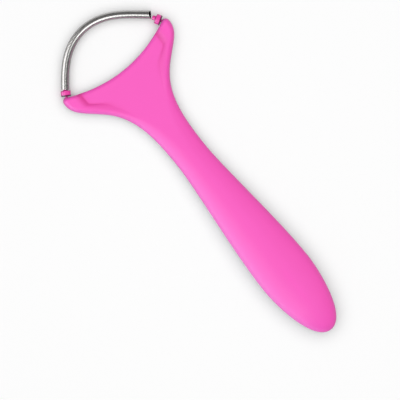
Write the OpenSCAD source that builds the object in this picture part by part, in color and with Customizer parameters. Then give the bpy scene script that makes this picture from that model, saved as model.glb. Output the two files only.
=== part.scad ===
// Facial hair removal spring: a long soft-touch grip that flares into a two-armed head.
// A tightly wound wire spring stands in a bow between the arm tips, on two small end plugs.
// Sizes are in millimetres. The tool lies on its back: +Y runs from the grip's end to the
// spring, +X to the right arm and +Z up. Its underside is level, so that it rests flat.

/* [Grip] */
// Width of the grip at its widest place
grip_w = 26.5; // [22:0.1:31.8]
// Thickness of the grip
grip_t = 12; // [9:0.5:14]
// Length from the end of the grip to its widest place
grip_len = 34.2; // [28.5:0.1:41.2]
// Length of the domed end of the grip
dome_len = 16; // [10:1:22]

/* [Shaft] */
// Length from the widest place of the grip to the narrowest place of the neck
shaft_len = 70.6; // [58.8:0.2:84.8]
// Width of the neck at its narrowest place
neck_w = 16.4; // [13.6:0.2:19.8]

/* [Head] */
// Width over both arms
head_w = 63.3; // [52.7:0.1:76]
// Length from the neck to the widest place of the arms
flare_len = 55.9; // [46.5:0.1:67.1]
// Thickness of the arms and of the raised rim
head_t = 6.6; // [5.6:0.1:8]
// Slant of the arms' outer edge, in degrees from the handle's axis
flare_slant = 47.1; // [42:0.1:52]
// How far the tips of the arms stand above the middle of the head's top edge
top_sag = 7.1; // [4:0.1:9]
// Height of the rounded corner at each arm tip
corner_h = 2.4; // [1.8:0.1:3]
// Width of the rounded corner at each arm tip
corner_w = 2; // [1.4:0.1:2.6]
// Rounding of the head's top edge, measured across the plate
edge_r = 1.8; // [1:0.1:2.4]

/* [Web] */
// Width of the raised rim along each arm
rim_w = 5.9; // [4.4:0.1:6.4]
// Width of the rim where the web runs out, towards the neck
rim_neck_w = 3.3; // [2.8:0.1:4]
// Part of the rim's width that is rounded down to the outer edge
rim_round = 2.3; // [1.6:0.1:2.8]
// Width over which the rim rises from the web, as a soft bead
bead_w = 3; // [2.4:0.1:3.6]
// Width of the pad at each arm tip, beside the sunk web
pad_w = 8.85; // [7.35:0.05:10.65]
// Depth of the web under the rim at the head's top edge
web_depth = 1.5; // [0.8:0.1:2]
// Length over which the front of the web runs out towards the neck
web_run = 30; // [24:1:36]
// Length over which the back of the web runs out towards the neck
web_back_run = 24; // [18:1:30]

/* [End plugs] */
// Lean of the plugs towards the handle's axis, in degrees
plug_lean = 31; // [26:1:35]
// Distance of the middle of each flange from the side of the head
plug_inset = 3.8; // [3.4:0.1:5]
// How far each flange stands out past the coil
flange_lip = 0.35; // [0.2:0.05:0.6]
// Length of each flange
flange_len = 2.7; // [2.2:0.1:3.2]
// Gap between the flange and the arm tip, where the stem shows
stem_gap = 0.8; // [0.65:0.05:1.2]
// Width of the stem that turns in the arm tip
stem_d = 1.4; // [1.2:0.1:1.7]
// Step from the stem out to the snap head inside the arm tip
snap_step = 0.2; // [0.15:0.05:0.25]
// Length of the snap head
snap_len = 1; // [0.8:0.1:1.2]
// Length of the narrow mouth of the bore
mouth_len = 1.1; // [0.9:0.1:1.3]
// Clearance all round a turning plug, on the radius
turn_clearance = 0.1; // [0.05:0.01:0.15]
// Length of the nose that stands in the spring
nose_len = 1.7; // [1.2:0.1:2.2]
// Clearance all round the nose inside the coil, where it leaves the flange
nose_clearance = 0.25; // [0.15:0.05:0.35]
// How much narrower the nose is at its tip
nose_taper = 0.3; // [0.2:0.1:0.6]

/* [Spring] */
// Outer diameter of the coil
spring_d = 4; // [3.4:0.1:4.8]
// Diameter of the wire
wire_d = 0.6; // [0.5:0.02:0.72]
// How much wider the wire is drawn below the bow's plane, so that every half turn joins cleanly
wire_step = 0.006; // [0.004:0.002:0.01]
// Space between two turns of wire, along the middle of the coil
turn_gap = 0.09; // [0.07:0.01:0.3]
// Angle that the bow turns through from end to end, in degrees
bow_turn = 92; // [80:1:105]
// Share of the bow's length that runs straight at its slipped right end
straight_end = 0.08; // [0:0.01:0.15]
// Space between the left flange and the first turn of wire
seat_gap = 0.3; // [0.25:0.05:0.6]
// How far the right end has slipped out past the tip of the nose
slip_out = 1.05; // [0.95:0.05:1.4]
// How far the right end has slipped sideways, away from the handle's axis
slip_side = 0.9; // [0.4:0.1:1.1]

/* [Hidden] */

// Pulls of the outline's curves, as shares of the stretch that each one shapes
butt_pull = 0.757;
belly_pull_down = 0.288;
belly_pull_up = 0.307;
neck_pull_down = 0.197;
neck_pull_up = 0.34;
slant_pull_down = 0.25;
slant_pull_up = 0.182;
tip_pull = 0.11;
corner_pull = 0.55;
// Where the arm's outer edge has its full slant, as shares of the way out and up from the neck
mid_flare_out = 0.509;
mid_flare_up = 0.728;
// Shares of the flare at which the handle has slimmed to the head, and its side to the rim's edge
slim_share = 0.86;
rim_share = 0.72;
// Shares of the flare where the rim starts to widen, and over which it widens
widen_from = 0.7;
widen_over = 0.25;
// Share of the grip's half width that its rounded side takes
belly_round = 0.92;
// Softening of the crease round the web, and of the web's corners in plan
crease_soft = 0.06;
corner_soft = 0.4;
// Power with which the sections begin to sag, from straight at the neck to the head's top edge
sag_power = 2.5;
// Limits that keep a section's columns apart: its least slope across the outline, the most of its
// half width that is rounded, and the shares of its flat part between which the crease stays
least_across = 0.35;
most_rounded = 0.95;
crease_limits = [0.35, 0.88];
// Short steps in which the bow is summed to find its span
bow_steps = 240;

// Sizes that follow from what they fit
flange_x = head_w / 2 - plug_inset;
web_w = head_w - 2 * pad_w;
flange_d = spring_d + 2 * flange_lip;
snap_d = stem_d + 2 * snap_step;
nose_base_d = spring_d - 2 * wire_d - 2 * nose_clearance;
nose_tip_d = nose_base_d - nose_taper;
pitch = wire_d + turn_gap;

// The places where the outline's curves meet
neck_y = grip_len + shaft_len;
arm_y = neck_y + flare_len;
butt = [0, 0];
belly = [grip_w / 2, grip_len];
neck = [neck_w / 2, neck_y];
slant = [sin(flare_slant), cos(flare_slant)];
mid_flare = [mix(neck[0], head_w / 2, mid_flare_out), neck_y + mid_flare_up * flare_len];
arm = [head_w / 2, arm_y];
tip = [head_w / 2 - corner_w, arm_y + corner_h];
top_slope = atan(2 * top_sag / tip[0]);

// The right half of the outline, from the grip's end to the arm tip, as Bezier stretches
stretches = [
    [butt, [butt_pull * belly[0], 0], belly - [0, belly_pull_down * grip_len], belly],
    [belly, belly + [0, belly_pull_up * shaft_len], neck - [0, neck_pull_down * shaft_len], neck],
    [neck, neck + [0, neck_pull_up * flare_len], mid_flare - slant_pull_down * flare_len * slant,
        mid_flare],
    [mid_flare, mid_flare + slant_pull_up * flare_len * slant, arm - [0, tip_pull * flare_len], arm],
    [arm, arm + [0, corner_pull * corner_h], tip + [corner_pull * corner_w, 0], tip]
];
// Sections along each stretch
steps = [11, 9, 13, 11, 4];
// Columns of half a section: over its rounded side, over the rim's bead and on the web
side_cols = 6;
bead_cols = 5;
web_cols = 4;
half_cols = side_cols + bead_cols + web_cols;
cols = 2 * half_cols;

function bezier(p, t) = pow(1 - t, 3) * p[0] + 3 * t * pow(1 - t, 2) * p[1]
    + 3 * t * t * (1 - t) * p[2] + pow(t, 3) * p[3];
function bezier_dir(p, t) = let (d = pow(1 - t, 2) * (p[1] - p[0]) + 2 * t * (1 - t) * (p[2] - p[1])
    + t * t * (p[3] - p[2])) d / norm(d);
function mix(a, b, t) = a + (b - a) * t;
function smooth(t) = let (c = min(1, max(0, t))) c * c * (3 - 2 * c);
function smooth_min(a, b, r) = (a + b - sqrt(pow(a - b, 2) + 4 * r * r)) / 2;
// Height of a rounded edge, as a share of the full height, at a share q of its width
function rounded(q) = let (c = min(1, max(0, q))) sqrt(c * (2 - c));

// Half the thickness: full in the grip, slimming evenly to the head
function half_t(y) = mix(grip_t, head_t,
    smooth((y - grip_len) / (slim_share * flare_len + shaft_len))) / 2;
// The dome closes the end of the grip
function dome(y) = rounded(y / dome_len);
// Width of the rounded side of a section: nearly all of the grip, and the rim's edge in the head
function side_round(y, half_w) = mix(belly_round * half_w, rim_round,
    smooth((y - neck_y) / (rim_share * flare_len)));
// The rim widens from the neck to the arms
function rim_width(y) = mix(rim_neck_w, rim_w,
    smooth(((y - neck_y) / flare_len - widen_from) / widen_over));
// The web's floor, measured from the middle of the thickness: it lies its depth under the rim at
// the arms, and runs out towards the neck
function front_floor(y) = let (slope = (2 * half_t(arm_y - web_run) - head_t + web_depth) / web_run)
    head_t - web_depth + slope * (arm_y - y) - half_t(y);
function back_floor(y) = half_t(y) - web_depth * (y - arm_y + web_back_run) / web_back_run;
// A height cut down to the web's floor, with the rim rising from the crease by the share bead
function sunk(full, floor, bead) = let (low = smooth_min(full, floor, crease_soft))
    low + max(0, full - low) * bead;

// Each section starts and ends on the outline and sags towards the grip in the middle
sections = [for (s = [0:len(stretches) - 1], i = [1:steps[s]]) let (t = i / steps[s])
    [bezier(stretches[s], t), bezier_dir(stretches[s], t)]];
last = len(sections) - 1;
function sag(y) = top_sag * pow(max(0, (y - neck_y) / (tip[1] - neck_y)), sag_power);
function top_edge_y(x) = tip[1] - top_sag * (1 - pow(x / tip[0], 2));

// Distance from the axis of the point k columns in from the outline: the columns crowd over the
// rounded side and towards the web's crease, then run evenly to the axis
function column_x(k, out_x, reach, crease_x) =
    let (
        flat_x = out_x - reach,
        fold_x = min(crease_limits[1] * flat_x, max(crease_limits[0] * flat_x, crease_x)),
        to_go = 1 - (k - side_cols) / bead_cols
    )
    k <= side_cols ? out_x - reach * (1 - cos(90 * k / side_cols))
    : k <= side_cols + bead_cols ? mix(fold_x, flat_x, to_go * to_go)
    : fold_x * (half_cols - k) / web_cols;

// A section's point at column j: its place, the middle of the thickness there, and how far the
// surface rises above it and drops below it
function section_point(s, j) =
    let (
        end = s[0],
        dip = sag(end[1]),
        across = max(least_across, s[1][1] - 2 * dip / end[0] * s[1][0]),
        reach = min(side_round(end[1], end[0]) / across, most_rounded * end[0]),
        rim = rim_width(end[1]),
        crease_x = smooth_min(end[0] - rim / across, web_w / 2, corner_soft),
        x = column_x(min(j, cols - j), end[0], reach, crease_x),
        y = end[1] - dip * (1 - pow(x / end[0], 2)),
        to_top = (top_edge_y(min(x, tip[0])) - y) * cos(top_slope),
        top = s == sections[last] ? 0 : rounded(to_top / edge_r),
        full = half_t(y) * dome(y) * rounded((end[0] - x) / reach),
        inside = smooth_min((end[0] - x) * across - rim, web_w / 2 - x, corner_soft),
        bead = 1 - pow(1 - min(1, max(0, -inside / bead_w)), 2),
        rise = sunk(full, front_floor(y), bead) * top,
        drop = sunk(full, back_floor(y), bead) * top
    ) [j < cols / 2 ? -x : x, y, half_t(y), rise, drop];

grid = [for (s = sections) [for (j = [0:cols]) section_point(s, j)]];
flat_grid = [for (row = grid, p = row) p];
upper = [for (p = flat_grid) [p[0], p[1], p[2] + p[3]]];
lower = [for (p = flat_grid) [p[0], p[1], p[2] - p[4]]];
row_len = cols + 1;
function top_id(i, j) = i * row_len + j;
// The two surfaces share their points all round the outline
function low_id(i, j) = j == 0 || j == cols || i == last
    ? top_id(i, j) : len(flat_grid) + top_id(i, j);

// Two triangles for the cell between two sections. The cut runs from corner b to corner d left of
// the axis and from a to c right of it, so that in an arm tip it never joins two outline points.
function cell(a, b, c, d, left) = left ? [[a, b, d], [b, c, d]] : [[a, b, c], [a, c, d]];
function flipped(faces) = [for (f = faces) [f[2], f[1], f[0]]];

// Where a plug turns, and where the spring starts and ends
lean_dir = [-sin(plug_lean), cos(plug_lean)];
out_dir = [cos(plug_lean), sin(plug_lean)];
flange_back = top_edge_y(flange_x) + stem_gap / cos(plug_lean);
flange_mid = [flange_x, flange_back + flange_len / 2 * cos(plug_lean)];
seat = flange_mid - (flange_len / 2 + stem_gap) * lean_dir;
nose_tip_at = stem_gap + flange_len + nose_len;
spring_r = (spring_d - wire_d) / 2;
first_turn = flange_mid + (flange_len / 2 + seat_gap + wire_d / 2) * lean_dir;
bow_start = [-first_turn[0], first_turn[1]];
bow_end = seat + (nose_tip_at + slip_out) * lean_dir + slip_side * out_dir;

// The bow's direction swings evenly from one end to the other. The slipped end carries no bending,
// so it runs straight. The bow is laid out for a length of one, then turned and scaled until it
// spans from the left plug to the right one.
function bow_angle(t) = bow_turn / 2 * cos(180 * min(1, t / (1 - straight_end)));
function unit_bow(n) = [for (i = 0, p = [0, 0]; i <= n;
    p = p + [cos(bow_angle((i + 0.5) / n)), sin(bow_angle((i + 0.5) / n))] / n, i = i + 1) p];
function heading(v) = atan2(v[1], v[0]);
function turned(p, a) = [p[0] * cos(a) - p[1] * sin(a), p[0] * sin(a) + p[1] * cos(a)];
bow_chord = unit_bow(bow_steps)[bow_steps];
bow_swing = heading(bow_end - bow_start) - heading(bow_chord);
bow_len = norm(bow_end - bow_start) / norm(bow_chord);
half_turns = 2 * round(bow_len / pitch);
bow = [for (p = unit_bow(half_turns)) bow_start + bow_len * turned(p, bow_swing)];
function bow_out(i) = let (a = bow_angle(i / half_turns) + bow_swing) [-sin(a), cos(a)];
function crossing(i) = bow[i] + (i % 2 == 0 ? -1 : 1) * spring_r * bow_out(i);

overall_len = max([for (p = bow) p[1]]) + spring_d / 2;

// Moves the origin from the grip's end to the middle of the tool
module placed() {
    translate([0, -overall_len / 2, 0]) children();
}

// The handle before its bores are cut
module handle_blank() {
    apex = len(flat_grid) * 2;
    skin = [for (i = [0:last - 1], j = [0:cols - 1]) let (left = j < cols / 2) each concat(
        flipped(cell(top_id(i, j), top_id(i, j + 1), top_id(i + 1, j + 1), top_id(i + 1, j), left)),
        cell(low_id(i, j), low_id(i, j + 1), low_id(i + 1, j + 1), low_id(i + 1, j), left)
    )];
    end = [for (j = [0:cols - 1]) each [
        [apex, top_id(0, j), top_id(0, j + 1)],
        [apex, low_id(0, j + 1), low_id(0, j)]
    ]];
    polyhedron(concat(upper, lower, [[0, 0, half_t(0)]]), concat(skin, end), convexity = 4);
}

// Puts a shape's Z axis on the axis of the right plug, from the arm tip towards the spring
module on_right_seat() {
    translate([seat[0], seat[1], head_t / 2]) rotate([0, 0, plug_lean]) rotate([-90, 0, 0])
        children();
}

module on_left_seat() {
    mirror([1, 0, 0]) on_right_seat() children();
}

// The stepped bore in an arm tip: a narrow mouth, then room for the snap head
module plug_bore() {
    room = snap_len + 2 * turn_clearance;
    translate([0, 0, -mouth_len]) cylinder(d = stem_d + 2 * turn_clearance, h = mouth_len + 2, $fn = 48);
    translate([0, 0, -mouth_len - room]) cylinder(d = snap_d + 2 * turn_clearance, h = room, $fn = 48);
}

// One moulding: grip, neck and two-armed head
module handle() {
    color([1, 0.36, 0.78]) placed() difference() {
        handle_blank();
        on_right_seat() plug_bore();
        on_left_seat() plug_bore();
    }
}

// A turned outline: snap head, stem, flange and tapered nose
module end_plug() {
    snap_top = -mouth_len - turn_clearance;
    soft = 0.3;
    nose_foot = stem_gap + flange_len;
    rotate_extrude($fn = 64) polygon([
        [0, snap_top - snap_len],
        [snap_d / 2 - soft, snap_top - snap_len],
        [snap_d / 2, snap_top - snap_len + 2 * soft],
        [snap_d / 2, snap_top],
        [stem_d / 2, snap_top],
        [stem_d / 2, stem_gap],
        [flange_d / 2 - soft, stem_gap],
        [flange_d / 2 - soft / 3, stem_gap + soft / 3],
        [flange_d / 2, stem_gap + soft],
        [flange_d / 2, nose_foot - soft],
        [flange_d / 2 - soft / 3, nose_foot - soft / 3],
        [flange_d / 2 - soft, nose_foot],
        [nose_base_d / 2, nose_foot],
        [nose_tip_d / 2, nose_tip_at - soft],
        [nose_tip_d / 2 - soft, nose_tip_at],
        [0, nose_tip_at]
    ]);
}

module left_end_plug() {
    color([0.95, 0.3, 0.68]) placed() on_left_seat() end_plug();
}

module right_end_plug() {
    color([0.95, 0.3, 0.68]) placed() on_right_seat() end_plug();
}

// Half a turn of wire, standing on edge between two crossings of the bow's plane
module half_turn(from, to, over_top) {
    middle = (from + to) / 2;
    d = over_top ? wire_d : wire_d + wire_step;
    translate([middle[0], middle[1], head_t / 2]) rotate([over_top ? 90 : -90, 0, heading(to - from)])
        rotate_extrude(angle = 180, $fn = 48)
            translate([norm(to - from) / 2, 0]) circle(d = d, $fn = 20);
}

// One wire: each half turn crosses from the inner side of the bow to the outer side or back
module spring() {
    color([0.78, 0.77, 0.76]) placed()
        for (i = [0:half_turns - 1]) half_turn(crossing(i), crossing(i + 1), i % 2 == 0);
}

handle();
spring();
left_end_plug();
right_end_plug();
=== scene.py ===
"""Facial hair removal spring: a soft-touch pink handle, a bowed coil of bright wire and two end plugs.

All sizes are in metres. The tool lies on its back: +Y runs from the grip to the spring, +X to the
right arm and +Z up. The outline's curves are worked out with Y measured from the grip's end.
"""
import math

import bpy
import numpy as np
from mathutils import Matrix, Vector


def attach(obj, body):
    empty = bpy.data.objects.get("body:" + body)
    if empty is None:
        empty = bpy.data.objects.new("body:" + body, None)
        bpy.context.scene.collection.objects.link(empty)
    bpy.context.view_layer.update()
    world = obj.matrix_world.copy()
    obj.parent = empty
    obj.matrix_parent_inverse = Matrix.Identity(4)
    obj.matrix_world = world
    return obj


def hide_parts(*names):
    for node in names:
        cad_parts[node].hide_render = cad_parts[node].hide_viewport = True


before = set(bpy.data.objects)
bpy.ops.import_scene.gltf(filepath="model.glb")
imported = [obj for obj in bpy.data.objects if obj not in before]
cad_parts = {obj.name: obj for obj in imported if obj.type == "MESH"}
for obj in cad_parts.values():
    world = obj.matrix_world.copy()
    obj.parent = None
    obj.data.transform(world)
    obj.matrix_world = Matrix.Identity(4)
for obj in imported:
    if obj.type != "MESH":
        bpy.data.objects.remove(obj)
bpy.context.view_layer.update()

# Grip, shaft and head of the handle
GRIP_W = 0.0265
GRIP_T = 0.012
GRIP_LEN = 0.0342
DOME_LEN = 0.016
SHAFT_LEN = 0.0706
NECK_W = 0.0164
HEAD_W = 0.0633
FLARE_LEN = 0.0559
HEAD_T = 0.0066
FLARE_SLANT = math.radians(47.1)
TOP_SAG = 0.0071
CORNER_H = 0.0024
CORNER_W = 0.002
EDGE_R = 0.0018
# Raised rim and sunk web
RIM_W = 0.0059
RIM_NECK_W = 0.0033
RIM_ROUND = 0.0023
BEAD_W = 0.003
PAD_W = 0.00885
WEB_W = HEAD_W - 2 * PAD_W
WEB_DEPTH = 0.0015
WEB_RUN = 0.030
WEB_BACK_RUN = 0.024
# End plugs, with the lean of their axes towards the handle's axis
PLUG_LEAN = math.radians(31)
PLUG_INSET = 0.0038
FLANGE_D = 0.0047
FLANGE_LEN = 0.0027
STEM_GAP = 0.0008
STEM_D = 0.0014
SNAP_D = 0.0018
SNAP_LEN = 0.001
MOUTH_LEN = 0.0011
TURN_CLEARANCE = 0.0001
NOSE_LEN = 0.0017
NOSE_BASE_D = 0.0023
NOSE_TIP_D = 0.002
# Spring
SPRING_D = 0.004
WIRE_D = 0.0006
PITCH = 0.00069
BOW_TURN = math.radians(92)
STRAIGHT_END = 0.08
SEAT_GAP = 0.0003
SLIP_OUT = 0.00105
SLIP_SIDE = 0.0009

# Pulls of the outline's curves, as shares of the stretch that each one shapes
BUTT_PULL = 0.757
BELLY_PULL_DOWN = 0.288
BELLY_PULL_UP = 0.307
NECK_PULL_DOWN = 0.197
NECK_PULL_UP = 0.34
SLANT_PULL_DOWN = 0.25
SLANT_PULL_UP = 0.182
TIP_PULL = 0.11
CORNER_PULL = 0.55
# Where the arm's outer edge has its full slant, as shares of the way out and up from the neck
MID_FLARE_OUT = 0.509
MID_FLARE_UP = 0.728
# Shares of the flare at which the handle has slimmed to the head, and its side to the rim's edge
SLIM_SHARE = 0.86
RIM_SHARE = 0.72
# Shares of the flare where the rim starts to widen, and over which it widens
WIDEN_FROM = 0.7
WIDEN_OVER = 0.25
# Share of the grip's half width that its rounded side takes, and the most that any side takes
BELLY_ROUND = 0.92
MOST_ROUNDED = 0.95
# Softening of the crease round the web, and of the web's corners in plan
CREASE_SOFT = 0.00006
CORNER_SOFT = 0.0004
# How far the painted shade in the crease reaches up the rim, and out over the web
CREASE_SHADE_RIM = 0.0021
CREASE_SHADE_WEB = 0.0007
# Power with which the sections begin to sag, and a section's least slope across the outline
SAG_POWER = 2.5
LEAST_ACROSS = 0.35
# How far inside the crease the web's even columns start, and the shares of a section's flat part
# between which they do
CREASE_CLEAR = 0.0009
CREASE_LIMITS = (0.35, 0.8)
# How far the cutter of a bore stands out of the arm tip
CUTTER_REACH = 0.002
# Short steps in which the bow is summed to find its length
BOW_STEPS = 240
# Turns of wire on which the open bore's shade is painted, with the steps over which that painted shade
# begins
MOUTH_TURNS = 1.6
MOUTH_START = 4
# Where the painted shade of the open bore lies across the coil, as shares of its radius: its middle,
# which is towards the bow's outer side, its reach to both sides, and the part of that in which it fades
MOUTH_MIDDLE = 0.2
MOUTH_REACH = 0.765
MOUTH_FADE = 0.294

# Columns of a half section: on the rounded side, across the rim and its crease, and on the web
SIDE_COLS = 18
CREASE_COLS = 26
WEB_COLS = 14
# Sides of the turned shapes and of the wire, and the wire's steps in each turn
PLUG_SIDES = 72
BORE_SIDES = 48
WIRE_SIDES = 12
STEPS_PER_TURN = 30
# Edges that turn by more than this are shaded sharp
SHARP_ANGLE = math.radians(50)

# Directions of the outline, and the places where its curves meet
UP = np.array([0.0, 1.0])
OUT = np.array([1.0, 0.0])
SLANT = np.array([math.sin(FLARE_SLANT), math.cos(FLARE_SLANT)])
NECK_Y = GRIP_LEN + SHAFT_LEN
ARM_Y = NECK_Y + FLARE_LEN
BUTT = np.array([0.0, 0.0])
BELLY = np.array([GRIP_W / 2, GRIP_LEN])
NECK = np.array([NECK_W / 2, NECK_Y])
MID_FLARE = NECK + [MID_FLARE_OUT * (HEAD_W / 2 - NECK[0]), MID_FLARE_UP * FLARE_LEN]
ARM = np.array([HEAD_W / 2, ARM_Y])
TIP = np.array([HEAD_W / 2 - CORNER_W, ARM_Y + CORNER_H])
TOP_SLOPE = math.atan(2 * TOP_SAG / TIP[0])

# Right half of the outline as Bezier stretches: start, two pulls, end and number of sections
STRETCHES = [
    (BUTT, BUTT + BUTT_PULL * GRIP_W / 2 * OUT, BELLY - BELLY_PULL_DOWN * GRIP_LEN * UP, BELLY, 64),
    (BELLY, BELLY + BELLY_PULL_UP * SHAFT_LEN * UP, NECK - NECK_PULL_DOWN * SHAFT_LEN * UP, NECK, 54),
    (NECK, NECK + NECK_PULL_UP * FLARE_LEN * UP, MID_FLARE - SLANT_PULL_DOWN * FLARE_LEN * SLANT,
     MID_FLARE, 96),
    (MID_FLARE, MID_FLARE + SLANT_PULL_UP * FLARE_LEN * SLANT, ARM - TIP_PULL * FLARE_LEN * UP,
     ARM, 78),
    (ARM, ARM + CORNER_PULL * CORNER_H * UP, TIP + CORNER_PULL * CORNER_W * OUT, TIP, 34),
]


def mix(a, b, t):
    """The value a share t of the way from a to b."""
    return a + (b - a) * t


def smooth(t):
    """A soft step from 0 to 1: 3 t squared less 2 t cubed, with t held between 0 and 1."""
    c = np.clip(t, 0, 1)
    return c * c * (3 - 2 * c)


def rounded(q):
    """A quarter circle: the height of a rounded edge at a share q of its width."""
    c = np.clip(q, 0, 1)
    return np.sqrt(c * (2 - c))


def smooth_min(a, b, r):
    """The smaller of a and b, with a corner that is rounded over about r."""
    return (a + b - np.sqrt((a - b) ** 2 + 4 * r * r)) / 2


def half_thickness(y):
    """Half the handle's thickness: full in the grip, slimming evenly to the head."""
    share = smooth((y - GRIP_LEN) / (SLIM_SHARE * FLARE_LEN + SHAFT_LEN))
    return mix(GRIP_T, HEAD_T, share) / 2


def top_edge_y(x):
    """The head's top edge: a parabola that sags between the arm tips."""
    return TIP[1] - TOP_SAG * (1 - (x / TIP[0]) ** 2)


def outline():
    """Points and directions of the right half of the outline: cubic Beziers, joined end to end."""
    points = []
    directions = []
    for a, b, c, d, count in STRETCHES:
        t = (np.arange(1, count + 1) / count)[:, None]
        points.append((1 - t) ** 3 * a + 3 * t * (1 - t) ** 2 * b + 3 * t * t * (1 - t) * c + t**3 * d)
        step = (1 - t) ** 2 * (b - a) + 2 * t * (1 - t) * (c - b) + t * t * (d - c)
        directions.append(step / np.linalg.norm(step, axis=1, keepdims=True))
    return np.concatenate(points), np.concatenate(directions)


def handle_columns(end_x, reach, crease_x):
    """Distances from the axis of one half section's points, from the outline inwards.

    A quarter circle of columns over the rounded side, then close columns across the rim to just
    inside the web's crease, then even columns to the axis.
    """
    side = end_x - reach * (1 - np.cos(np.linspace(0, np.pi / 2, SIDE_COLS + 1)))
    flat = end_x - reach
    inner = np.clip(crease_x - CREASE_CLEAR, CREASE_LIMITS[0] * flat, CREASE_LIMITS[1] * flat)
    middle = mix(flat, inner, np.arange(1, CREASE_COLS + 1) / CREASE_COLS)
    web = inner * (1 - np.arange(1, WEB_COLS + 1) / WEB_COLS)
    return np.concatenate([side, middle, web], axis=1)


def sunk(full, floor, bead):
    """A height cut down to the web's floor, with the rim's bead rising from the crease."""
    low = smooth_min(full, floor, CREASE_SOFT)
    return low + np.maximum(0, full - low) * bead


def handle_surface():
    """Grids of x, y, middle height, rise, drop and painted crease shade over the handle's plan.

    Each section starts on the outline and sags towards the grip in the middle. Its rise above the
    middle and its drop below it are half the thickness, times a quarter circle at the grip's end,
    at the outline and at the head's top edge. The web's floor cuts them down, and the rim rises
    from the floor's crease as a parabola. The painted shade in the crease falls off as a bell curve.
    """
    end, direction = outline()
    end_x = end[:, :1]
    end_y = end[:, 1:]
    dip = TOP_SAG * np.maximum(0, (end_y - NECK_Y) / (TIP[1] - NECK_Y)) ** SAG_POWER
    across = np.maximum(LEAST_ACROSS, direction[:, 1:] - 2 * dip / end_x * direction[:, :1])
    side_round = mix(BELLY_ROUND * end_x, RIM_ROUND, smooth((end_y - NECK_Y) / (RIM_SHARE * FLARE_LEN)))
    reach = np.minimum(side_round / across, MOST_ROUNDED * end_x)
    rim = mix(RIM_NECK_W, RIM_W, smooth(((end_y - NECK_Y) / FLARE_LEN - WIDEN_FROM) / WIDEN_OVER))
    crease_x = smooth_min(end_x - rim / across, WEB_W / 2, CORNER_SOFT)

    half = handle_columns(end_x, reach, crease_x)
    x = np.concatenate([-half, half[:, -2::-1]], axis=1)
    away = np.abs(x)
    y = end_y - dip * (1 - (away / end_x) ** 2)
    middle = half_thickness(y)
    full = middle * rounded(y / DOME_LEN) * rounded((end_x - away) / reach)
    to_top = (top_edge_y(np.minimum(away, TIP[0])) - y) * math.cos(TOP_SLOPE)
    top = rounded(to_top / EDGE_R)
    top[-1] = 0

    inside = smooth_min((end_x - away) * across - rim, WEB_W / 2 - away, CORNER_SOFT)
    bead = np.clip(-inside / BEAD_W, 0, 1)
    bead = 1 - (1 - bead) ** 2
    run_t = 2 * half_thickness(ARM_Y - WEB_RUN)
    front_floor = HEAD_T - WEB_DEPTH + (run_t - HEAD_T + WEB_DEPTH) / WEB_RUN * (ARM_Y - y)
    back_floor = WEB_DEPTH / WEB_BACK_RUN * (y - ARM_Y + WEB_BACK_RUN)
    rise = sunk(full, front_floor - middle, bead) * top
    drop = sunk(full, middle - back_floor, bead) * top
    # Painted shade in the web's crease: a bell curve about the crease, reaching further up the rim
    spread = np.where(inside < 0, CREASE_SHADE_RIM, CREASE_SHADE_WEB)
    crease = np.exp(-((inside / spread) ** 2)) * smooth((full - front_floor + middle) / WEB_DEPTH)
    return x, y, middle, rise, drop, crease


def grid_faces(rows, cols):
    """Quads of a grid of points stored row by row, facing up when rows run to +Y and columns to +X."""
    corner = (np.arange(rows - 1)[:, None] * cols + np.arange(cols - 1)).ravel()
    return np.stack([corner, corner + 1, corner + 1 + cols, corner + cols], axis=1)


def ring_faces(rings, sides):
    """Quads of a tube: each ring of points joins the next, and its last side joins its first."""
    ring = np.arange(rings - 1)[:, None] * sides
    side = np.arange(sides)
    following = (side + 1) % sides
    return np.stack([ring + side, ring + following, ring + sides + following, ring + sides + side],
                    axis=2).reshape(-1, 4)


def tube_faces(rings, sides):
    """Faces of a tube that one flat face closes at each end."""
    low = list(range(sides))[::-1]
    high = list(range((rings - 1) * sides, rings * sides))
    return ring_faces(rings, sides).tolist() + [low, high]


def make_piece(name, points, faces, material, sharp_edges=False):
    """A mesh object at the origin from arrays of points and faces, shaded smooth."""
    mesh = bpy.data.meshes.new(name)
    mesh.from_pydata(points.tolist(), [], faces)
    mesh.validate()
    mesh.shade_smooth()
    if sharp_edges:
        mesh.set_sharp_from_angle(angle=SHARP_ANGLE)
    mesh.materials.append(material)
    piece = bpy.data.objects.new(name, mesh)
    bpy.context.scene.collection.objects.link(piece)
    return piece


def add_shade(piece, name, values):
    """Stores a value for each point of a piece, for its material to read."""
    piece.data.attributes.new(name, "FLOAT", "POINT").data.foreach_set("value", values)


# Where a plug turns and where the spring starts and ends, as in the plan of the handle
LEAN = np.array([-math.sin(PLUG_LEAN), math.cos(PLUG_LEAN)])
SIDEWAYS = np.array([math.cos(PLUG_LEAN), math.sin(PLUG_LEAN)])
FLANGE_X = HEAD_W / 2 - PLUG_INSET
FLANGE_Y = top_edge_y(FLANGE_X) + STEM_GAP / math.cos(PLUG_LEAN) + FLANGE_LEN / 2 * math.cos(PLUG_LEAN)
FLANGE_MID = np.array([FLANGE_X, FLANGE_Y])
SEAT = FLANGE_MID - (FLANGE_LEN / 2 + STEM_GAP) * LEAN
NOSE_FOOT = STEM_GAP + FLANGE_LEN
NOSE_TIP = NOSE_FOOT + NOSE_LEN
COIL_R = (SPRING_D - WIRE_D) / 2
AXIS_Z = HEAD_T / 2


def bow_angle(share):
    """The bow's direction at a share of its length: an even swing, then the straight right end."""
    return BOW_TURN / 2 * np.cos(np.pi * np.minimum(1, share / (1 - STRAIGHT_END)))


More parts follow.
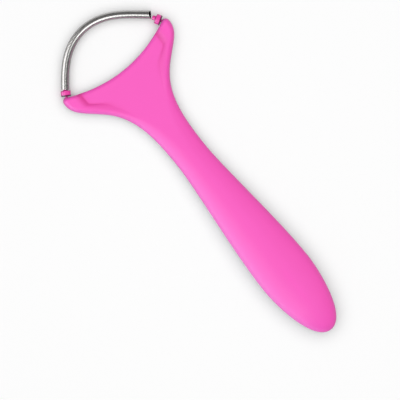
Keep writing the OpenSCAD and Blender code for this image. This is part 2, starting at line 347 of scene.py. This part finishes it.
def bow_route(count):
    """Points and outward directions of the bow's middle line, from the left plug to the right one.

    The line's direction swings as the cosine of the share of its length, up to the straight right
    end. It is summed from short steps, then turned and scaled until it spans from start to end.
    """
    start = (FLANGE_MID + (FLANGE_LEN / 2 + SEAT_GAP + WIRE_D / 2) * LEAN) * [-1, 1]
    end = SEAT + (NOSE_TIP + SLIP_OUT) * LEAN + SLIP_SIDE * SIDEWAYS
    steps = np.exp(1j * bow_angle((np.arange(count) + 0.5) / count)) / count
    route = np.concatenate([[0], np.cumsum(steps)])
    span = complex(*(end - start)) / route[-1]
    length = abs(span)
    route = complex(*start) + route * span
    outward = np.exp(1j * (bow_angle(np.arange(count + 1) / count) + np.angle(span))) * 1j
    return route, outward, length


# Turns of the wire, from the bow's length
TURNS = round(bow_route(BOW_STEPS)[2] / PITCH)
# Half the tool's length, with the bow summed in one step for each half turn, as in the CAD model
HALF_LENGTH = (bow_route(2 * TURNS)[0].imag.max() + SPRING_D / 2) / 2


def to_frame(x, y, z):
    """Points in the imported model's frame, whose origin is at the middle of the tool's length."""
    return np.stack(np.broadcast_arrays(x, y - HALF_LENGTH, z), axis=-1).reshape(-1, 3)


def make_handle(material):
    """The handle's skin: an upper and a lower grid that share the outline, and a point at the butt."""
    x, y, middle, rise, drop, crease = handle_surface()
    rows, cols = x.shape
    upper = to_frame(x, y, middle + rise)
    lower = to_frame(x, y, middle - drop)
    apex = to_frame(0.0, 0.0, half_thickness(0.0))
    points = np.concatenate([upper, lower, apex])
    ids = np.arange(rows * cols).reshape(rows, cols)
    below = ids + rows * cols
    below[:, 0] = ids[:, 0]
    below[:, -1] = ids[:, -1]
    below[-1] = ids[-1]
    over = grid_faces(rows, cols)
    under = below.ravel()[over][:, ::-1]
    butt = np.full(cols - 1, len(points) - 1)
    over_butt = np.stack([butt, ids[0, 1:], ids[0, :-1]], axis=1)
    under_butt = np.stack([butt, below[0, :-1], below[0, 1:]], axis=1)

    # The lower grid's own copies of the outline's points belong to no face, so they are left out
    used = np.unique(np.concatenate([over.ravel(), under.ravel(), butt[:1]]))
    renumber = np.full(len(points), -1)
    renumber[used] = np.arange(len(used))
    faces = [renumber[block].tolist() for block in (over, under, over_butt, under_butt)]
    piece = make_piece("soft_touch_handle", points[used], sum(faces, []), material)
    # The painted shade in the web's crease, stored for the material
    add_shade(piece, "crease", np.concatenate([crease.ravel(), crease.ravel(), [0.0]])[used])
    cut_bores(piece)
    return piece


def turned(profile, sides):
    """Points of a turned shape about Z: each profile point (radius, height) makes a ring."""
    angle = np.linspace(0, 2 * np.pi, sides, endpoint=False)
    radius = profile[:, :1]
    height = np.broadcast_to(profile[:, 1:], (len(profile), sides))
    return np.stack([radius * np.cos(angle), radius * np.sin(angle), height], axis=-1).reshape(-1, 3)


def seated(points, side):
    """Turned points moved onto a plug's axis: Z becomes the axis from the arm tip to the spring.

    The side is 1 on the right and -1 on the left, where both X and Z change sign, so that faces
    still point outwards.
    """
    along = points[:, 2:]
    plan = SEAT + along * LEAN + points[:, :1] * SIDEWAYS
    return to_frame(plan[:, 0] * side, plan[:, 1], AXIS_Z - points[:, 1] * side)


def fillet(a, corner, b, radius, count=6):
    """A rounded corner of a profile: a quadratic curve that leaves both sides at the radius."""
    toward_a = (a - corner) / np.linalg.norm(a - corner)
    toward_b = (b - corner) / np.linalg.norm(b - corner)
    t = np.linspace(0, 1, count)[:, None]
    start = corner + radius * toward_a
    end = corner + radius * toward_b
    return (1 - t) ** 2 * start + 2 * t * (1 - t) * corner + t * t * end


def plug_profile():
    """Radius and height of the plug, from the snap head's end to the nose's tip, with soft corners."""
    snap_top = -MOUTH_LEN - TURN_CLEARANCE
    corners = np.array([
        [0, snap_top - SNAP_LEN],
        [SNAP_D / 2, snap_top - SNAP_LEN],
        [SNAP_D / 2, snap_top],
        [STEM_D / 2, snap_top],
        [STEM_D / 2, STEM_GAP],
        [FLANGE_D / 2, STEM_GAP],
        [FLANGE_D / 2, NOSE_FOOT],
        [NOSE_BASE_D / 2, NOSE_FOOT],
        [NOSE_TIP_D / 2, NOSE_TIP],
        [0, NOSE_TIP],
    ])
    # Radii of the corners between the two ends
    soft = [0.00035, 0.00015, 0.0001, 0.00012, 0.0004, 0.0004, 0.0002, 0.00035]
    bends = [fillet(corners[i], corners[i + 1], corners[i + 2], r) for i, r in enumerate(soft)]
    return np.concatenate([corners[:1], *bends, corners[-1:]])


def cut_bores(piece):
    """Cuts the stepped bore of each plug into an arm tip: a narrow mouth, then room for the snap head."""
    mouth_r = STEM_D / 2 + TURN_CLEARANCE
    room_r = SNAP_D / 2 + TURN_CLEARANCE
    room_end = -MOUTH_LEN - SNAP_LEN - 2 * TURN_CLEARANCE
    profile = np.array([
        [room_r, room_end],
        [room_r, -MOUTH_LEN],
        [mouth_r, -MOUTH_LEN],
        [mouth_r, CUTTER_REACH],
    ])
    faces = tube_faces(len(profile), BORE_SIDES)
    uncut = piece.data
    cutters = []
    for side in (-1, 1):
        points = seated(turned(profile, BORE_SIDES), side)
        cutter = make_piece("bore_cutter", points, faces, uncut.materials[0])
        cut = piece.modifiers.new("bore", "BOOLEAN")
        cut.operation = "DIFFERENCE"
        cut.solver = "MANIFOLD"
        cut.object = cutter
        cutters.append(cutter)
    cut_piece = piece.evaluated_get(bpy.context.evaluated_depsgraph_get())
    mesh = bpy.data.meshes.new_from_object(cut_piece)
    mesh.set_sharp_from_angle(angle=SHARP_ANGLE)
    piece.modifiers.clear()
    piece.data = mesh
    for spare in [uncut] + [cutter.data for cutter in cutters]:
        bpy.data.meshes.remove(spare)


def make_plug(name, side, material):
    """One turned plug: rings of its profile, closed by a fan at each end."""
    profile = plug_profile()
    rings = profile[1:-1]
    ends = profile[[0, -1]]
    points = seated(turned(rings, PLUG_SIDES), side)
    end_points = seated(turned(ends, 1), side)
    first = np.arange(PLUG_SIDES)
    following = (first + 1) % PLUG_SIDES
    last = (len(rings) - 1) * PLUG_SIDES
    low = np.stack([np.full(PLUG_SIDES, len(points)), following, first], axis=1)
    high = np.stack([np.full(PLUG_SIDES, len(points) + 1), last + first, last + following], axis=1)
    faces = ring_faces(len(rings), PLUG_SIDES).tolist() + low.tolist() + high.tolist()
    piece = make_piece(name, np.concatenate([points, end_points]), faces, material, sharp_edges=True)
    # 0 at the flange's edge beside the arm tip, and 1 at its edge beside the spring
    heights = np.concatenate([np.repeat(rings[:, 1], PLUG_SIDES), ends[:, 1]])
    add_shade(piece, "flange_share", (heights - STEM_GAP) / FLANGE_LEN)
    return piece


def make_spring(material):
    """The wound wire: a circle carried along a helix round the bow, with a flat cut at each end.

    The helix turns at an even rate along the bow, over the top from its inner to its outer side.
    Its frame is the radial direction, and the direction across both the radius and the path.
    """
    route, outward, length = bow_route(TURNS * STEPS_PER_TURN)
    count = len(route)
    phase = np.pi * (1 - 2 * np.arange(count) / STEPS_PER_TURN)
    radial = np.stack([np.cos(phase) * outward.real, np.cos(phase) * outward.imag, np.sin(phase)], axis=1)
    path = to_frame(route.real, route.imag, AXIS_Z) + COIL_R * radial
    tangent = np.gradient(path, axis=0)
    tangent /= np.linalg.norm(tangent, axis=1, keepdims=True)
    across = np.cross(tangent, radial)
    across /= np.linalg.norm(across, axis=1, keepdims=True)
    normal = np.cross(across, tangent)
    angle = np.linspace(0, 2 * np.pi, WIRE_SIDES, endpoint=False)[None, :, None]
    rings = path[:, None] + WIRE_D / 2 * (np.cos(angle) * normal[:, None] + np.sin(angle) * across[:, None])
    piece = make_piece("coil_spring", rings.reshape(-1, 3), tube_faces(count, WIRE_SIDES), material,
                       sharp_edges=True)
    add_wire_uv(piece, count, length)
    # Painted shade of the open bore on the wire's last turns
    add_shade(piece, "mouth", np.repeat(painted_mouth_shade(phase), WIRE_SIDES))
    layer = piece.data.attributes.new("coil_normal", "FLOAT_VECTOR", "POINT")
    layer.data.foreach_set("vector", np.repeat(radial, WIRE_SIDES, axis=0).ravel())
    return piece


def painted_mouth_shade(phase):
    """The open bore's shade, painted along the wire: a soft step along it, times one across the coil."""
    to_cut = len(phase) - np.arange(len(phase))
    along = smooth((MOUTH_TURNS * STEPS_PER_TURN - to_cut) / MOUTH_START)
    off_middle = np.abs(np.cos(phase) - MOUTH_MIDDLE)
    return along * smooth((MOUTH_REACH - off_middle) / MOUTH_FADE)


def add_wire_uv(piece, count, length):
    """UV of the wire: U is the distance along it, V the way round it, both in metres."""
    wire_len = math.hypot(length, length / PITCH * 2 * np.pi * COIL_R)
    vertex = np.zeros(len(piece.data.loops), int)
    piece.data.loops.foreach_get("vertex_index", vertex)
    along = vertex // WIRE_SIDES / (count - 1) * wire_len
    around = vertex % WIRE_SIDES / WIRE_SIDES * np.pi * WIRE_D
    layer = piece.data.uv_layers.new(name="wire")
    layer.data.foreach_set("uv", np.stack([along, around], axis=1).ravel())


class Nodes:
    """Short calls that add and join the nodes of one material, world or node group."""

    def __init__(self, tree):
        self.tree = tree
        self.column = 0

    def add(self, kind, **settings):
        """A new node, to the right of the one before it."""
        node = self.tree.nodes.new(kind)
        node.location = (self.column * 190, 0)
        self.column += 1
        for key, value in settings.items():
            setattr(node, key, value)
        return node

    def feed(self, node, values):
        """Gives sockets of a node, by name or place, another node's output, a number or a colour."""
        for key, value in values.items():
            socket = node.inputs[key]
            if isinstance(value, bpy.types.NodeSocket):
                self.tree.links.new(value, socket)
            elif socket.type == "RGBA":
                socket.default_value = (*value, 1.0)
            else:
                socket.default_value = value

    def math(self, operation, a, b=0.0, clamp=False):
        """What a Math node's operation makes of one or two values."""
        node = self.add("ShaderNodeMath", operation=operation, use_clamp=clamp)
        self.feed(node, {0: a, 1: b})
        return node.outputs[0]

    def scaled(self, value, gain, base, clamp=False):
        """A value times a gain, plus a base."""
        return self.math("ADD", self.math("MULTIPLY", value, gain), base, clamp)

    def ramp(self, value, zero_at, one_at):
        """0 where a value is at one place, 1 where it is at the other, and a straight slope between."""
        gain = 1 / (one_at - zero_at)
        return self.scaled(value, gain, -zero_at * gain, clamp=True)

    def line_at(self, value, place, reach):
        """A soft line where a value is near a place: 1.6 less the distance over the reach."""
        away = self.math("ABSOLUTE", self.math("SUBTRACT", value, place))
        return self.math("SUBTRACT", 1.6, self.math("DIVIDE", away, reach), clamp=True)

    def blend(self, factor, a, b):
        """A colour the factor's share of the way from a to b."""
        node = self.add("ShaderNodeMix", data_type="RGBA")
        self.feed(node, {0: factor, 6: a, 7: b})
        return node.outputs[2]

    def coords(self):
        """Places on the piece itself, in metres."""
        return self.add("ShaderNodeTexCoord").outputs["Object"]

    def stored(self, name, output="Fac"):
        """What the piece stores for each of its points."""
        return self.add("ShaderNodeAttribute", attribute_name=name).outputs[output]

    def noise(self, vector, scale, detail=2.0, roughness=0.5):
        """Cloudy noise from 0 to 1."""
        node = self.add("ShaderNodeTexNoise")
        self.feed(node, {"Vector": vector, "Scale": scale, "Detail": detail, "Roughness": roughness})
        return node.outputs["Fac"]

    def bump(self, height, strength, distance):
        """The normal of a surface whose skin rises with a height."""
        node = self.add("ShaderNodeBump")
        self.feed(node, {"Height": height, "Strength": strength, "Distance": distance})
        return node.outputs["Normal"]


def new_material(name):
    """A new node material, with its nodes and its Principled shader."""
    material = bpy.data.materials.new(name)
    material.use_nodes = True
    return material, Nodes(material.node_tree), material.node_tree.nodes["Principled BSDF"]


# Colours of the handle, the plugs and the wire
PINK = (0.98, 0.080, 0.560)
DEEP_PINK = (0.955, 0.069, 0.510)
# Painted shade in the handle's web crease
CREASE_SHADE_PINK = (0.82, 0.034, 0.35)
SHEEN_TINT = (0.80, 0.80, 1.0)
PLUG_PINK = (0.95, 0.075, 0.50)
PLUG_DEEP_PINK = (0.80, 0.02, 0.32)
# Painted shade along the edges of the plugs' flanges
PLUG_EDGE_SHADE = (0.10, 0.002, 0.05)
STEEL = (0.74, 0.73, 0.72)
STEEL_WARM = (0.68, 0.665, 0.65)
# Painted shade of the open bore, on the wire's last turns
MOUTH_SHADE = (0.01, 0.01, 0.01)
# What the handle's pink counts as where it only throws light on other things
THROWN_GREY = (0.42, 0.36, 0.40)


def moulded_skin_group():
    """Shared look of moulded parts: a cloudy tone, and a fine grain for the skin's height."""
    group = bpy.data.node_groups.new("moulded skin", "ShaderNodeTree")
    for name in ("Cloud Size", "Grain Size"):
        group.interface.new_socket(name, in_out="INPUT", socket_type="NodeSocketFloat")
    for name in ("Cloud", "Grain"):
        group.interface.new_socket(name, in_out="OUTPUT", socket_type="NodeSocketFloat")
    nodes = Nodes(group)
    sizes = nodes.add("NodeGroupInput").outputs
    place = nodes.coords()
    cloud = nodes.noise(place, nodes.math("DIVIDE", 1.0, sizes["Cloud Size"]), detail=3.0)
    grain = nodes.noise(place, nodes.math("DIVIDE", 1.0, sizes["Grain Size"]), detail=4.0, roughness=0.65)
    nodes.feed(nodes.add("NodeGroupOutput"), {"Cloud": cloud, "Grain": grain})
    return group


def use_skin(nodes, group, cloud_size, grain_size):
    """Places the moulded skin in a material with its own sizes."""
    skin = nodes.add("ShaderNodeGroup", node_tree=group)
    nodes.feed(skin, {"Cloud Size": cloud_size, "Grain Size": grain_size})
    return skin.outputs["Cloud"], skin.outputs["Grain"]


def soft_touch_pink(group):
    """Soft-touch pink: a dry satin skin with a dusty sheen, duller in the web's crease, where shade is
    painted into its colour.
    """
    material, nodes, shader = new_material("soft-touch pink")
    cloud, grain = use_skin(nodes, group, cloud_size=0.016, grain_size=0.00022)
    crease = nodes.stored("crease")
    tone = nodes.blend(nodes.math("MULTIPLY", cloud, 0.5), PINK, DEEP_PINK)
    # Painted shade: the pink darkens in the web's crease
    tone = nodes.blend(nodes.math("MULTIPLY", crease, 0.95), tone, CREASE_SHADE_PINK)
    rough = nodes.scaled(grain, gain=0.12, base=0.44)
    duller = nodes.math("MULTIPLY", crease, 0.25)
    thrown = nodes.add("ShaderNodeLightPath").outputs["Is Diffuse Ray"]
    nodes.feed(shader, {
        "Base Color": nodes.blend(thrown, tone, THROWN_GREY),
        "Roughness": nodes.math("ADD", rough, duller),
        "Normal": nodes.bump(grain, strength=0.25, distance=0.00003),
        "IOR": 1.46,
        "Specular IOR Level": 1.0,
        "Sheen Weight": 0.25,
        "Sheen Roughness": 0.4,
        "Sheen Tint": SHEEN_TINT,
    })
    return material


def plug_pink(group):
    """Hard moulded pink, glossier and deeper than the handle's, with a painted shade line along each flange
    edge.
    """
    material, nodes, shader = new_material("moulded plug pink")
    cloud, grain = use_skin(nodes, group, cloud_size=0.0016, grain_size=0.0003)
    tone = nodes.blend(nodes.math("MULTIPLY", cloud, 0.9, clamp=True), PLUG_PINK, PLUG_DEEP_PINK)
    share = nodes.stored("flange_share")
    # Painted shade: a dark line along the flange's edge beside the arm tip, and a fainter one beside the
    # spring
    arm_edge_shade = nodes.line_at(share, place=0.07, reach=0.13)
    spring_edge_shade = nodes.math("MULTIPLY", nodes.line_at(share, place=1.0, reach=0.08), 0.6)
    nodes.feed(shader, {
        "Base Color": nodes.blend(nodes.math("MAXIMUM", arm_edge_shade, spring_edge_shade), tone, PLUG_EDGE_SHADE),
        "Roughness": nodes.scaled(grain, gain=0.15, base=0.14),
        "Normal": nodes.bump(grain, strength=0.2, distance=0.00004),
        "Specular IOR Level": 1.0,
    })
    return material


def tube_normal(nodes, share):
    """The wire's own normal, turned by a share towards the normal of the tube that the turns make."""
    tube = nodes.add("ShaderNodeVectorTransform", vector_type="NORMAL", convert_from="OBJECT",
                     convert_to="WORLD")
    nodes.feed(tube, {0: nodes.stored("coil_normal", "Vector")})
    wire = nodes.add("ShaderNodeNewGeometry").outputs["Normal"]
    between = nodes.add("ShaderNodeMix", data_type="VECTOR")
    nodes.feed(between, {0: share, 4: wire, 5: tube.outputs[0]})
    unit = nodes.add("ShaderNodeVectorMath", operation="NORMALIZE")
    nodes.feed(unit, {0: between.outputs[1]})
    return unit.outputs[0]


def drawn_steel():
    """Bright drawn wire: fine lines along it, soft grooves between the turns, and the open bore's shade
    painted on its last turns.
    """
    material, nodes, shader = new_material("drawn steel wire")
    stretched = nodes.add("ShaderNodeMapping")
    nodes.feed(stretched, {
        "Vector": nodes.add("ShaderNodeUVMap", uv_map="wire").outputs["UV"],
        "Scale": (0.04, 1.0, 1.0),
    })
    lines = nodes.noise(stretched.outputs["Vector"], scale=22000.0)
    cloud = nodes.noise(nodes.coords(), scale=160.0, detail=3.0)
    tone = nodes.blend(cloud, STEEL, STEEL_WARM)
    nodes.feed(shader, {
        # Painted shade of the open bore darkens the last turns
        "Base Color": nodes.blend(nodes.stored("mouth"), tone, MOUTH_SHADE),
        "Roughness": nodes.scaled(lines, gain=0.1, base=0.18),
        "Normal": tube_normal(nodes, share=0.9),
        "Metallic": 1.0,
    })
    return material


# Stage: the floor, the lamps, and the dim ceiling and dark table that only gloss sees
FLOOR_SIZE = 6.0
FLOOR_Z = -0.00002
FLOOR_WHITE = (0.97, 0.97, 0.97)
FLOOR_LIFT = (0.034, 0.034, 0.034)
FLOOR_BOUNCE = (0.66, 0.66, 0.66)
BLACK = (0.0, 0.0, 0.0)
WHITE = (1.0, 1.0, 1.0)
AMBIENT = 0.32
TABLE_SIZE = 1.2
TABLE_Z = -0.00001
TABLE_DARK = (0.32, 0.32, 0.32)
TABLE_CROWN = (0.55, 0.55, 0.55)
TABLE_LIGHT = (1.8, 2.4, 2.9)
CEILING_GLOW = 0.17
CEILING_R = 2.4
# Ways from the middle of the stage to the lamps, and the tints of their light
OVERHEAD = (0, 0, 1)
SIDE = (-0.887, 0.141, 1.0)
LOW_SIDE = (-0.97, 0.15, 0.24)
RIGHT_SIDE = (0.9, -0.1, 0.6)
CROWN_SIDE = (-0.12, -0.40, 0.92)
LEFT_SIDE = (-0.53, 0.60, 0.58)
SIDE_TINT = (0.96, 0.88, 1.0)
LOW_TINT = (0.68, 0.90, 1.0)
RIGHT_TINT = (1.0, 0.5, 0.52)
# Camera: the width that it frames at the height of the arms, and the turn of the tool in the picture
CAMERA_HEIGHT = 1.2
ARM_HEIGHT = 0.004
SENSOR_WIDTH = 36.0
FRAME_WIDTH = 0.188
FRAME_CENTRE = (-0.00996, -0.00656)
PICTURE_TURN = math.radians(-38.75)


def seen_from_behind(nodes):
    """1 for rays that see the backdrop: camera, glossy and transmission rays."""
    light_path = nodes.add("ShaderNodeLightPath").outputs
    seen = nodes.math("ADD", light_path["Is Camera Ray"], light_path["Is Glossy Ray"])
    return nodes.math("ADD", seen, light_path["Is Transmission Ray"], clamp=True)


def make_square(name, size, z, material):
    """A level square about the middle of the stage."""
    edge = size / 2
    points = np.array([[-edge, -edge, z], [edge, -edge, z], [edge, edge, z], [-edge, edge, z]])
    return make_piece(name, points, [[0, 1, 2, 3]], material)


def make_floor():
    """The pale floor: lifted to white where it is seen, and duller to the light that it bounces."""
    material, nodes, shader = new_material("pale floor")
    seen = seen_from_behind(nodes)
    nodes.feed(shader, {
        "Base Color": nodes.blend(seen, FLOOR_BOUNCE, FLOOR_WHITE),
        "Emission Color": nodes.blend(seen, BLACK, FLOOR_LIFT),
        "Emission Strength": 1.0,
        "Roughness": 1.0,
        "Specular IOR Level": 0.0,
    })
    floor = make_square("floor", FLOOR_SIZE, FLOOR_Z, material)
    return floor


def glow_material(name, strength):
    """A black material with no gloss, which only shines."""
    material, nodes, shader = new_material(name)
    nodes.feed(shader, {
        "Base Color": BLACK,
        "Specular IOR Level": 0.0,
        "Emission Color": WHITE,
        "Emission Strength": strength,
    })
    return material, nodes, shader


def gloss_only(piece):
    """Stages a piece so that only reflections see it."""
    piece.visible_camera = False
    piece.visible_diffuse = False
    piece.visible_shadow = False
    piece.visible_transmission = False
    piece.visible_volume_scatter = False


def make_dim_ceiling():
    """The studio's dim ceiling: a sphere round the stage, from 7 to 89 degrees up, closed by a flat top."""
    rings = 16
    sides = 48
    height = np.radians(np.linspace(7, 89, rings))
    profile = CEILING_R * np.stack([np.cos(height), np.sin(height)], axis=1)
    top = list(range((rings - 1) * sides, rings * sides))
    faces = ring_faces(rings, sides).tolist() + [top]
    material = glow_material("dim ceiling", CEILING_GLOW)[0]
    gloss_only(make_piece("dim_ceiling", turned(profile, sides), faces, material))


def make_dark_table():
    """What low gloss sees instead of the floor: a dark table, paler past the crown and towards the left."""
    material, nodes, shader = glow_material("dark table", 1.0)
    split = nodes.add("ShaderNodeSeparateXYZ")
    nodes.feed(split, {0: nodes.coords()})
    x = split.outputs["X"]
    y = split.outputs["Y"]
    left = nodes.ramp(x, zero_at=0.0, one_at=-0.05)
    below_head = nodes.ramp(y, zero_at=0.0727, one_at=0.0273)
    right = nodes.ramp(x, zero_at=-0.01, one_at=0.00667)
    past_crown = nodes.ramp(y, zero_at=0.0725, one_at=0.085)
    tone = nodes.blend(nodes.math("MULTIPLY", right, past_crown), TABLE_DARK, TABLE_CROWN)
    tone = nodes.blend(nodes.math("MULTIPLY", left, below_head), tone, TABLE_LIGHT)
    nodes.feed(shader, {"Emission Color": tone})
    gloss_only(make_square("dark_table", TABLE_SIZE, TABLE_Z, material))


def collect(name, pieces):
    """A collection of pieces, for the lamps that light only those."""
    group = bpy.data.collections.new(name)
    for piece in pieces:
        group.objects.link(piece)
    return group


def add_lamp(name, direction, distance, shape, size, power, lit, tint):
    """A lamp that faces the middle of the stage and lights only the pieces in one collection."""
    light = bpy.data.lights.new(name, "AREA")
    light.shape = shape
    light.size = size[0]
    light.size_y = size[-1]
    light.energy = power
    light.color = tint
    lamp = bpy.data.objects.new(name, light)
    lamp.location = Vector(direction).normalized() * distance
    lamp.rotation_euler = (-lamp.location).to_track_quat("-Z", "Y").to_euler()
    lamp.visible_camera = False
    lamp.light_linking.receiver_collection = lit
    bpy.context.scene.collection.objects.link(lamp)
    return lamp


def add_softbox(name, direction, distance, size, power, lit, tint=WHITE):
    """A round softbox with no gloss."""
    lamp = add_lamp(name, direction, distance, "DISK", (size,), power, lit, tint)
    lamp.visible_glossy = False


def add_gloss_box(name, direction, distance, size, power, lit, tint=WHITE):
    """A rectangular softbox that shows only as a gloss."""
    lamp = add_lamp(name, direction, distance, "RECTANGLE", size, power, lit, tint)
    lamp.visible_diffuse = False


def make_world():
    """Even studio light, and white where the backdrop shows."""
    world = bpy.data.worlds.new("studio")
    bpy.context.scene.world = world
    world.use_nodes = True
    nodes = Nodes(world.node_tree)
    strength = nodes.scaled(seen_from_behind(nodes), gain=1 - AMBIENT, base=AMBIENT)
    nodes.feed(world.node_tree.nodes["Background"], {"Color": WHITE, "Strength": strength})


def make_camera():
    """Straight above the tool, turned so that its axis runs down to the right as in the photograph."""
    data = bpy.data.cameras.new("camera")
    data.sensor_width = SENSOR_WIDTH
    data.lens = SENSOR_WIDTH * (CAMERA_HEIGHT - ARM_HEIGHT) / FRAME_WIDTH
    data.clip_end = 20
    camera = bpy.data.objects.new("camera", data)
    camera.location = (*FRAME_CENTRE, CAMERA_HEIGHT)
    camera.rotation_euler = (0, 0, PICTURE_TURN)
    bpy.context.scene.collection.objects.link(camera)
    bpy.context.scene.camera = camera


# The tool
skin_group = moulded_skin_group()

handle = make_handle(soft_touch_pink(skin_group))
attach(handle, "root")
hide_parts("handle")

spring = make_spring(drawn_steel())
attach(spring, "root")
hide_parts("spring")

plug_material = plug_pink(skin_group)
plugs = []
for name, side in (("left", -1), ("right", 1)):
    plug = make_plug(name + "_turned_plug", side, plug_material)
    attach(plug, name + "_plug")
    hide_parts(name + "_end_plug")
    plugs.append(plug)

# The stage, with each lamp's distance and size in metres and its power in watts
tool = collect("tool", [handle, spring, *plugs])
floor = make_floor()
make_dim_ceiling()
make_dark_table()
satin = collect("satin", [handle, *plugs])
steel = collect("steel", [spring])
add_gloss_box("bright box", SIDE, 0.9, (0.75, 0.75), 2.8, satin)
add_gloss_box("low box", LOW_SIDE, 0.95, (1.4, 0.42), 5.5, satin, LOW_TINT)
add_gloss_box("crown box", CROWN_SIDE, 1.0, (0.60, 0.78), 3.3, steel)
add_gloss_box("left box", LEFT_SIDE, 1.0, (0.6, 0.9), 2.9, steel)
add_softbox("overhead softbox", OVERHEAD, 0.85, 2.0, 7.6, tool)
add_softbox("side softbox", SIDE, 0.9, 0.7, 3.1, tool, SIDE_TINT)
add_softbox("right softbox", RIGHT_SIDE, 0.9, 0.7, 1.35, tool, RIGHT_TINT)
add_softbox("floor softbox", OVERHEAD, 0.85, 2.0, 11.2, collect("floor", [floor]))
make_world()
make_camera()
bpy.context.scene.view_settings.view_transform = "Standard"
